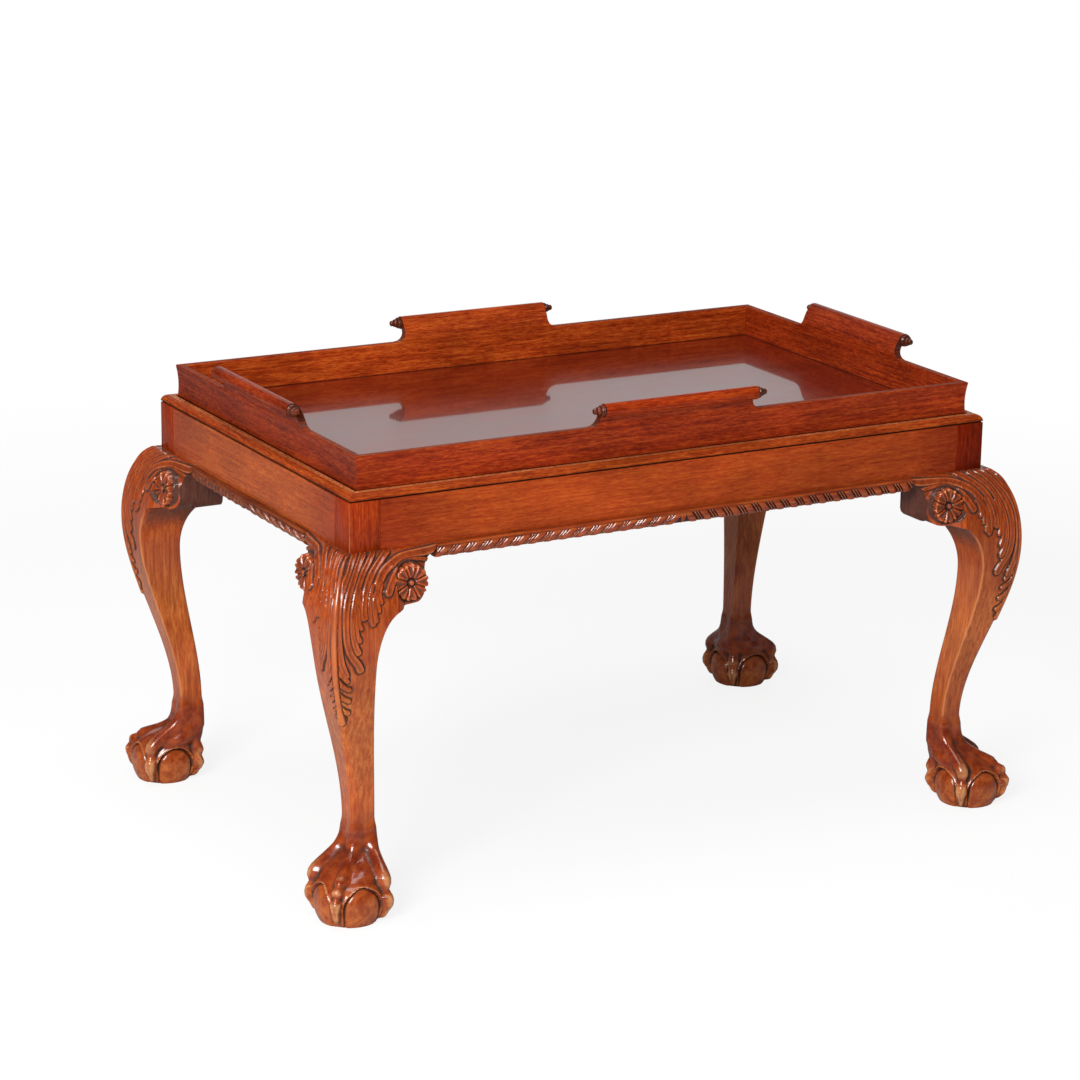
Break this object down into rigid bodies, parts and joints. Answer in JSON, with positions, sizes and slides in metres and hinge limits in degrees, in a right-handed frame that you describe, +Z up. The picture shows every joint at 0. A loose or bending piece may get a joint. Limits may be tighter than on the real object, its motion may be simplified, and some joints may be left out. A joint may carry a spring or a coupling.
{
  "type": "tray top tea table",
  "caption": "Low rectangular tea table on cabriole legs with claw-and-ball feet; a loose gallery tray with scrolled hand grips lifts out of the moulded frame.",
  "frame": {"origin": "on the floor, under the centre of the table's footprint", "axes": "+Z up; +X along the long rails towards the right; +Y towards the back"},
  "size_m": [0.938, 0.613, 0.56],
  "materials": {
    "leg_mahogany": "french polished, worn",
    "rail_mahogany": "french polished",
    "moulding_mahogany": "french polished",
    "gallery_mahogany": "french polished",
    "tray_floor_mahogany": "high gloss polish",
    "secondary_oak": "bare, sawn and planed",
    "screw_brass": "plain"
  },
  "bodies": {
    "stand": {"bearer_back": "secondary_oak", "bearer_front": "secondary_oak", "bearer_left": "secondary_oak", "bearer_right": "secondary_oak", "bearer_screws": "screw_brass", "corner_block_back_left": "secondary_oak", "corner_block_back_right": "secondary_oak", "corner_block_front_left": "secondary_oak", "corner_block_front_right": "secondary_oak", "gadroon_moulding_back": "moulding_mahogany", "gadroon_moulding_front": "moulding_mahogany", "gadroon_moulding_left": "moulding_mahogany", "gadroon_moulding_right": "moulding_mahogany", "knee_block_back_left_back_side": "leg_mahogany", "knee_block_back_left_left_side": "leg_mahogany", "knee_block_back_right_back_side": "leg_mahogany", "knee_block_back_right_right_side": "leg_mahogany", "knee_block_front_left_front_side": "leg_mahogany", "knee_block_front_left_left_side": "leg_mahogany", "knee_block_front_right_front_side": "leg_mahogany", "knee_block_front_right_right_side": "leg_mahogany", "leg_back_left": "leg_mahogany", "leg_back_right": "leg_mahogany", "leg_front_left": "leg_mahogany", "leg_front_right": "leg_mahogany", "rail_back": "rail_mahogany", "rail_front": "rail_mahogany", "rail_left": "rail_mahogany", "rail_right": "rail_mahogany", "rim_moulding_back": "moulding_mahogany", "rim_moulding_front": "moulding_mahogany", "rim_moulding_left": "moulding_mahogany", "rim_moulding_right": "moulding_mahogany"},
    "tray": {"finial_back_left": "gallery_mahogany", "finial_back_right": "gallery_mahogany", "finial_front_left": "gallery_mahogany", "finial_front_right": "gallery_mahogany", "finial_left_back": "gallery_mahogany", "finial_left_front": "gallery_mahogany", "finial_right_back": "gallery_mahogany", "finial_right_front": "gallery_mahogany", "tray_panel": "tray_floor_mahogany", "tray_side_back": "gallery_mahogany", "tray_side_front": "gallery_mahogany", "tray_side_left": "gallery_mahogany", "tray_side_right": "gallery_mahogany"}
  },
  "joints": [
    {"name": "tray_lift", "type": "slide", "parent": "stand", "child": "tray", "axis": [0, 0, 1], "range_m": [0, 0.15]}
  ]
}
